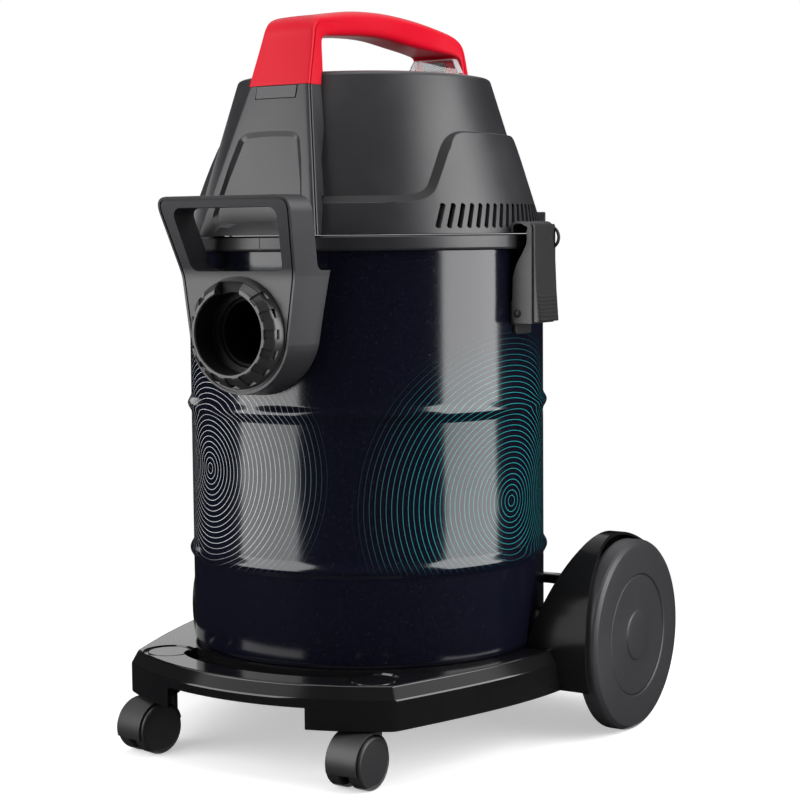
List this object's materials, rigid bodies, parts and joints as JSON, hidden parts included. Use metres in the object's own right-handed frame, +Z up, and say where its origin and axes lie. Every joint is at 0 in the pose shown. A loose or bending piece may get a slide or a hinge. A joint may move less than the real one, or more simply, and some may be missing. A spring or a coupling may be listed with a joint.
{
  "type": "wet and dry drum vacuum cleaner",
  "caption": "Wet and dry drum vacuum cleaner: painted drum with a hose socket, lift-off motor head with a carrying handle, side latches, and a wheeled dolly.",
  "frame": {"origin": "floor point under the middle of the footprint's bounding box", "axes": "+Z up, -Y towards the hose socket and the casters, +X towards the right-hand rear wheel"},
  "size_m": [0.422, 0.384, 0.607],
  "materials": {
    "gloss_black": "high-gloss black plastic",
    "drum_paint": "gloss navy-black paint with a fine metallic fleck",
    "satin_black": "satin moulded black plastic with a fine grain",
    "rubber": "matt black rubber",
    "wheel_plastic": "satin dark grey plastic",
    "steel": "plain steel",
    "black_steel": "black-coated steel",
    "red_plastic": "semi-gloss red plastic",
    "clear_plastic": "clear plastic",
    "armature": "laminated core with copper windings",
    "white_plastic": "natural white plastic",
    "filter_cloth": "needled filter cloth"
  },
  "bodies": {
    "base": {"dolly_base": "gloss_black", "drum_shell": "drum_paint", "inlet_housing": "satin_black", "inlet_gasket": "rubber", "inlet_collar": "satin_black", "inlet_elbow": "satin_black", "rear_axle_left": "steel", "rear_axle_right": "steel", "latch_bracket_left": "black_steel", "latch_bracket_right": "black_steel", "latch_pin_left": "steel", "latch_pin_right": "steel"},
    "wheel_left": {"rear_wheel_left": "wheel_plastic", "wheel_cap_left": "wheel_plastic"},
    "wheel_right": {"rear_wheel_right": "wheel_plastic", "wheel_cap_right": "wheel_plastic"},
    "caster_left": {"caster_hood_left": "wheel_plastic", "caster_stem_left": "steel", "caster_axle_left": "steel"},
    "caster_right": {"caster_hood_right": "wheel_plastic", "caster_stem_right": "steel", "caster_axle_right": "steel"},
    "caster_left_wheel_a": {"caster_wheel_left_a": "wheel_plastic"},
    "caster_left_wheel_b": {"caster_wheel_left_b": "wheel_plastic"},
    "caster_right_wheel_a": {"caster_wheel_right_a": "wheel_plastic"},
    "caster_right_wheel_b": {"caster_wheel_right_b": "wheel_plastic"},
    "head": {"head_base": "satin_black", "rim_seal": "rubber", "vent_housing": "satin_black", "motor_cover": "satin_black", "front_column": "satin_black", "column_clip": "satin_black", "rear_column": "satin_black", "cord_gland": "rubber", "carry_handle": "red_plastic", "switch_body": "satin_black", "switch_cover": "clear_plastic", "motor_gasket": "rubber", "fan_casing": "steel", "motor_frame": "steel", "filter_cage": "satin_black", "filter_sleeve": "filter_cloth", "filter_ring": "rubber"},
    "rotor": {"motor_shaft": "armature", "suction_fan": "steel", "cooling_fan": "white_plastic"},
    "float_body": {"float": "white_plastic"},
    "rocker": {"rocker_switch": "satin_black"},
    "arm_left": {"latch_arm_left": "satin_black"},
    "arm_right": {"latch_arm_right": "satin_black"},
    "lever_left": {"latch_lever_left": "satin_black"},
    "lever_right": {"latch_lever_right": "satin_black"}
  },
  "joints": [
    {"name": "head_lift", "type": "slide", "parent": "base", "child": "head", "axis": [0, 0, 1], "range_m": [0, 0.13]},
    {"name": "wheel_left_roll", "type": "hinge", "parent": "base", "child": "wheel_left", "pos_m": [-0.21, 0.10601, 0.0807], "axis": [1, 0, 0], "continuous": true},
    {"name": "wheel_right_roll", "type": "hinge", "parent": "base", "child": "wheel_right", "pos_m": [0.21, 0.10601, 0.0807], "axis": [1, 0, 0], "continuous": true},
    {"name": "caster_left_swivel", "type": "hinge", "parent": "base", "child": "caster_left", "pos_m": [-0.101, -0.14099, 0.0415], "axis": [0, 0, 1], "continuous": true},
    {"name": "caster_left_wheel_a_roll", "type": "hinge", "parent": "caster_left", "child": "caster_left_wheel_a", "pos_m": [-0.10465, -0.16065, 0.02075], "axis": [0.9833, -0.1822, 0], "continuous": true},
    {"name": "caster_left_wheel_b_roll", "type": "hinge", "parent": "caster_left", "child": "caster_left_wheel_b", "pos_m": [-0.10465, -0.16065, 0.02075], "axis": [0.9833, -0.1822, 0], "continuous": true},
    {"name": "caster_right_swivel", "type": "hinge", "parent": "base", "child": "caster_right", "pos_m": [0.101, -0.14099, 0.0415], "axis": [0, 0, 1], "continuous": true},
    {"name": "caster_right_wheel_a_roll", "type": "hinge", "parent": "caster_right", "child": "caster_right_wheel_a", "pos_m": [0.10065, -0.16099, 0.02075], "axis": [0.9998, -0.0175, 0], "continuous": true},
    {"name": "caster_right_wheel_b_roll", "type": "hinge", "parent": "caster_right", "child": "caster_right_wheel_b", "pos_m": [0.10065, -0.16099, 0.02075], "axis": [0.9998, -0.0175, 0], "continuous": true},
    {"name": "latch_left_swing", "type": "hinge", "parent": "base", "child": "arm_left", "pos_m": [-0.157, 0.01101, 0.357], "axis": [0, -1, 0], "range_deg": [0, 40]},
    {"name": "latch_left_lever", "type": "hinge", "parent": "arm_left", "child": "lever_left", "pos_m": [-0.1638, 0.01101, 0.4245], "axis": [0, 1, 0], "range_deg": [0, 60]},
    {"name": "latch_right_swing", "type": "hinge", "parent": "base", "child": "arm_right", "pos_m": [0.157, 0.01101, 0.357], "axis": [0, 1, 0], "range_deg": [0, 40]},
    {"name": "latch_right_lever", "type": "hinge", "parent": "arm_right", "child": "lever_right", "pos_m": [0.1638, 0.01101, 0.4245], "axis": [0, -1, 0], "range_deg": [0, 60]},
    {"name": "rotor_spin", "type": "hinge", "parent": "head", "child": "rotor", "pos_m": [0, 0.01101, 0.45], "axis": [0, 0, 1], "continuous": true},
    {"name": "float_rise", "type": "slide", "parent": "head", "child": "float_body", "axis": [0, 0, 1], "range_m": [0, 0.058]},
    {"name": "rocker_tilt", "type": "hinge", "parent": "head", "child": "rocker", "pos_m": [-0.003, 0.12823, 0.567], "axis": [1, 0, 0], "range_deg": [-11, 0]}
  ]
}
